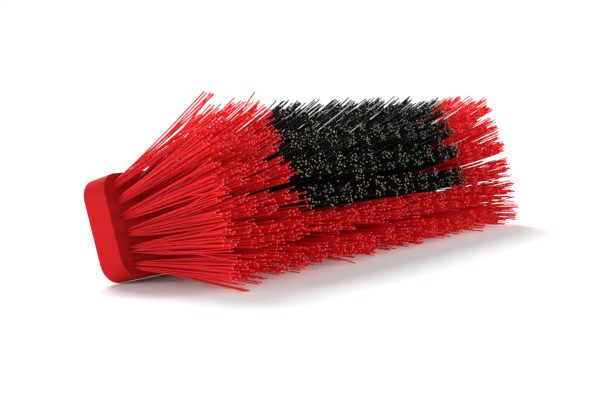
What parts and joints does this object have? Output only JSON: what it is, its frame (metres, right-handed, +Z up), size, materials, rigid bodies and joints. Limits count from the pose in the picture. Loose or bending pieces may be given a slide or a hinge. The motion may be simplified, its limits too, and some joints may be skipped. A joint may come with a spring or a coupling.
{
  "type": "wheel brush",
  "caption": "Straight wheel brush head: a flat plastic block with rows of fanned red and black filament tufts, bolted from the back through threaded inserts.",
  "frame": {"origin": "middle of the footprint, on the surface that the head rests on", "axes": "+X along the block from the near end to the far end, -Y the way the bristles point, +Z up"},
  "size_m": [0.4586, 0.1228, 0.1194],
  "materials": {
    "block_plastic": "satin red moulded plastic",
    "red_filament": "satin red extruded filament",
    "black_filament": "satin black extruded filament, pale cut ends",
    "anchor_steel": "plain flat wire",
    "insert_brass": "turned brass"
  },
  "bodies": {
    "root": {"anchors_row_1": "anchor_steel", "anchors_row_2": "anchor_steel", "anchors_row_3": "anchor_steel", "anchors_row_4": "anchor_steel", "anchors_row_5": "anchor_steel", "anchors_row_6": "anchor_steel", "brush_block": "block_plastic", "threaded_inserts": "insert_brass", "tufts_row_1_black": "black_filament", "tufts_row_1_red_far": "red_filament", "tufts_row_1_red_near": "red_filament", "tufts_row_2_black": "black_filament", "tufts_row_2_red_far": "red_filament", "tufts_row_2_red_near": "red_filament", "tufts_row_3_black": "black_filament", "tufts_row_3_red_far": "red_filament", "tufts_row_3_red_near": "red_filament", "tufts_row_4_black": "black_filament", "tufts_row_4_red_far": "red_filament", "tufts_row_4_red_near": "red_filament", "tufts_row_5_red": "red_filament", "tufts_row_6_red": "red_filament"}
  },
  "joints": []
}
